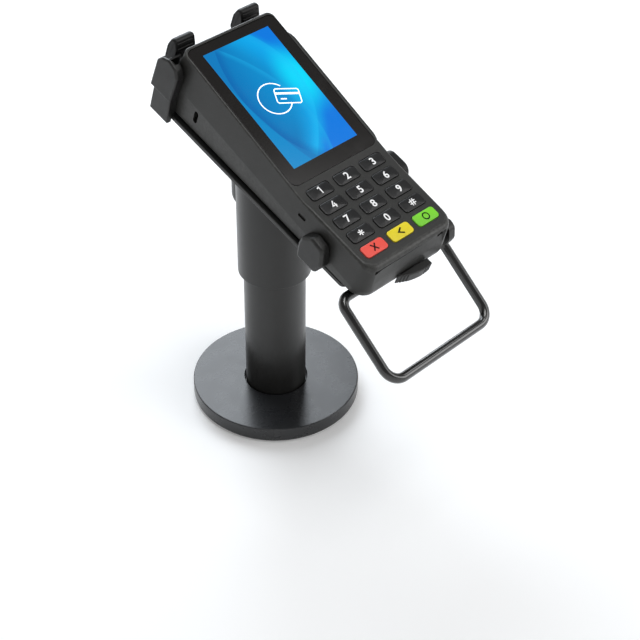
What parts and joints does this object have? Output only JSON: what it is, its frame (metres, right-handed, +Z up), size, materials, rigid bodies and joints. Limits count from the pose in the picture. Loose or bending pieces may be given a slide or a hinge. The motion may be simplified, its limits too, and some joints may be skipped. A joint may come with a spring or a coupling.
{
  "type": "card payment terminal on counter pole stand",
  "caption": "Handheld card payment terminal gripped by a tilting plate with a wire grab handle, on a swivelling round pole with a disc base.",
  "frame": {"origin": "middle of the round base's underside, on the pole's axis", "axes": "+Z up along the pole; the terminal and handle face -Y, towards the user; +X is the user's right"},
  "size_m": [0.12, 0.2253, 0.2791],
  "materials": {
    "base_paint": "satin powder coat",
    "board": "solder mask",
    "bush_plastic": "low-friction acetal",
    "case_plastic": "fine-textured satin",
    "clip_plastic": "satin",
    "handle_coat": "glossy dip coat over steel wire",
    "hook_rubber": "ribbed, satin",
    "key_black": "satin",
    "key_green": "satin",
    "key_red": "satin",
    "key_yellow": "satin",
    "plate_paint": "satin powder coat",
    "pole_paint": "satin powder coat",
    "screen_glass": "polished cover glass with a black border",
    "screen_picture": "lit blue picture",
    "screw_steel": "zinc plated",
    "soft_rubber": "matt"
  },
  "bodies": {
    "stand": {"base_plate": "base_paint", "base_foot_pad": "soft_rubber", "base_bolt": "screw_steel", "pole_tube": "pole_paint", "swivel_bush_lower": "bush_plastic", "swivel_bush_upper": "bush_plastic"},
    "swivel_head": {"pole_sleeve": "pole_paint", "tilt_head": "plate_paint", "rear_hood": "clip_plastic", "friction_washer_left": "screw_steel", "friction_washer_right": "screw_steel"},
    "terminal_holder": {"bracket_screw_1": "screw_steel", "bracket_screw_2": "screw_steel", "card_reader": "key_black", "case_screw_1": "screw_steel", "case_screw_2": "screw_steel", "case_screw_3": "screw_steel", "case_screw_4": "screw_steel", "cheek_clip_left": "clip_plastic", "cheek_clip_right": "clip_plastic", "contactless_antenna": "board", "corner_clip_left": "clip_plastic", "corner_clip_right": "clip_plastic", "display_glass": "screen_glass", "display_panel": "screen_picture", "front_stop": "hook_rubber", "grip_plate": "plate_paint", "handle": "handle_coat", "handle_clamp_left": "plate_paint", "handle_clamp_right": "plate_paint", "handle_screw_left": "screw_steel", "handle_screw_right": "screw_steel", "key_mat": "soft_rubber", "keypad_board": "board", "lower_case": "case_plastic", "main_board": "board", "rear_hook_left": "hook_rubber", "rear_hook_right": "hook_rubber", "side_hook_right": "hook_rubber", "terminal_pad_left": "soft_rubber", "terminal_pad_right": "soft_rubber", "tilt_axle": "screw_steel", "tilt_bracket": "plate_paint", "tilt_nut": "screw_steel", "upper_case": "case_plastic"},
    "key_0_button": {"key_0": "key_black"},
    "key_1_button": {"key_1": "key_black"},
    "key_2_button": {"key_2": "key_black"},
    "key_3_button": {"key_3": "key_black"},
    "key_4_button": {"key_4": "key_black"},
    "key_5_button": {"key_5": "key_black"},
    "key_6_button": {"key_6": "key_black"},
    "key_7_button": {"key_7": "key_black"},
    "key_8_button": {"key_8": "key_black"},
    "key_9_button": {"key_9": "key_black"},
    "key_cancel_button": {"key_cancel": "key_red"},
    "key_clear_button": {"key_clear": "key_yellow"},
    "key_enter_button": {"key_enter": "key_green"},
    "key_hash_button": {"key_hash": "key_black"},
    "key_star_button": {"key_star": "key_black"}
  },
  "joints": [
    {"name": "swivel", "type": "hinge", "parent": "stand", "child": "swivel_head", "pos_m": [0, 0, 0.12], "axis": [0, 0, 1], "range_deg": [-165, 165]},
    {"name": "tilt", "type": "hinge", "parent": "swivel_head", "child": "terminal_holder", "pos_m": [0, 0, 0.186], "axis": [1, 0, 0], "range_deg": [-20, 24]},
    {"name": "key_0_press", "type": "slide", "parent": "terminal_holder", "child": "key_0_button", "axis": [0, 0.3789, -0.9254], "range_m": [0, 0.001], "stiffness_N_per_m": 400, "springref_m": -0.0004},
    {"name": "key_1_press", "type": "slide", "parent": "terminal_holder", "child": "key_1_button", "axis": [0, 0.3789, -0.9254], "range_m": [0, 0.001], "stiffness_N_per_m": 400, "springref_m": -0.0004},
    {"name": "key_2_press", "type": "slide", "parent": "terminal_holder", "child": "key_2_button", "axis": [0, 0.3789, -0.9254], "range_m": [0, 0.001], "stiffness_N_per_m": 400, "springref_m": -0.0004},
    {"name": "key_3_press", "type": "slide", "parent": "terminal_holder", "child": "key_3_button", "axis": [0, 0.3789, -0.9254], "range_m": [0, 0.001], "stiffness_N_per_m": 400, "springref_m": -0.0004},
    {"name": "key_4_press", "type": "slide", "parent": "terminal_holder", "child": "key_4_button", "axis": [0, 0.3789, -0.9254], "range_m": [0, 0.001], "stiffness_N_per_m": 400, "springref_m": -0.0004},
    {"name": "key_5_press", "type": "slide", "parent": "terminal_holder", "child": "key_5_button", "axis": [0, 0.3789, -0.9254], "range_m": [0, 0.001], "stiffness_N_per_m": 400, "springref_m": -0.0004},
    {"name": "key_6_press", "type": "slide", "parent": "terminal_holder", "child": "key_6_button", "axis": [0, 0.3789, -0.9254], "range_m": [0, 0.001], "stiffness_N_per_m": 400, "springref_m": -0.0004},
    {"name": "key_7_press", "type": "slide", "parent": "terminal_holder", "child": "key_7_button", "axis": [0, 0.3789, -0.9254], "range_m": [0, 0.001], "stiffness_N_per_m": 400, "springref_m": -0.0004},
    {"name": "key_8_press", "type": "slide", "parent": "terminal_holder", "child": "key_8_button", "axis": [0, 0.3789, -0.9254], "range_m": [0, 0.001], "stiffness_N_per_m": 400, "springref_m": -0.0004},
    {"name": "key_9_press", "type": "slide", "parent": "terminal_holder", "child": "key_9_button", "axis": [0, 0.3789, -0.9254], "range_m": [0, 0.001], "stiffness_N_per_m": 400, "springref_m": -0.0004},
    {"name": "key_cancel_press", "type": "slide", "parent": "terminal_holder", "child": "key_cancel_button", "axis": [0, 0.3789, -0.9254], "range_m": [0, 0.001], "stiffness_N_per_m": 400, "springref_m": -0.0004},
    {"name": "key_clear_press", "type": "slide", "parent": "terminal_holder", "child": "key_clear_button", "axis": [0, 0.3789, -0.9254], "range_m": [0, 0.001], "stiffness_N_per_m": 400, "springref_m": -0.0004},
    {"name": "key_enter_press", "type": "slide", "parent": "terminal_holder", "child": "key_enter_button", "axis": [0, 0.3789, -0.9254], "range_m": [0, 0.001], "stiffness_N_per_m": 400, "springref_m": -0.0004},
    {"name": "key_hash_press", "type": "slide", "parent": "terminal_holder", "child": "key_hash_button", "axis": [0, 0.3789, -0.9254], "range_m": [0, 0.001], "stiffness_N_per_m": 400, "springref_m": -0.0004},
    {"name": "key_star_press", "type": "slide", "parent": "terminal_holder", "child": "key_star_button", "axis": [0, 0.3789, -0.9254], "range_m": [0, 0.001], "stiffness_N_per_m": 400, "springref_m": -0.0004}
  ]
}
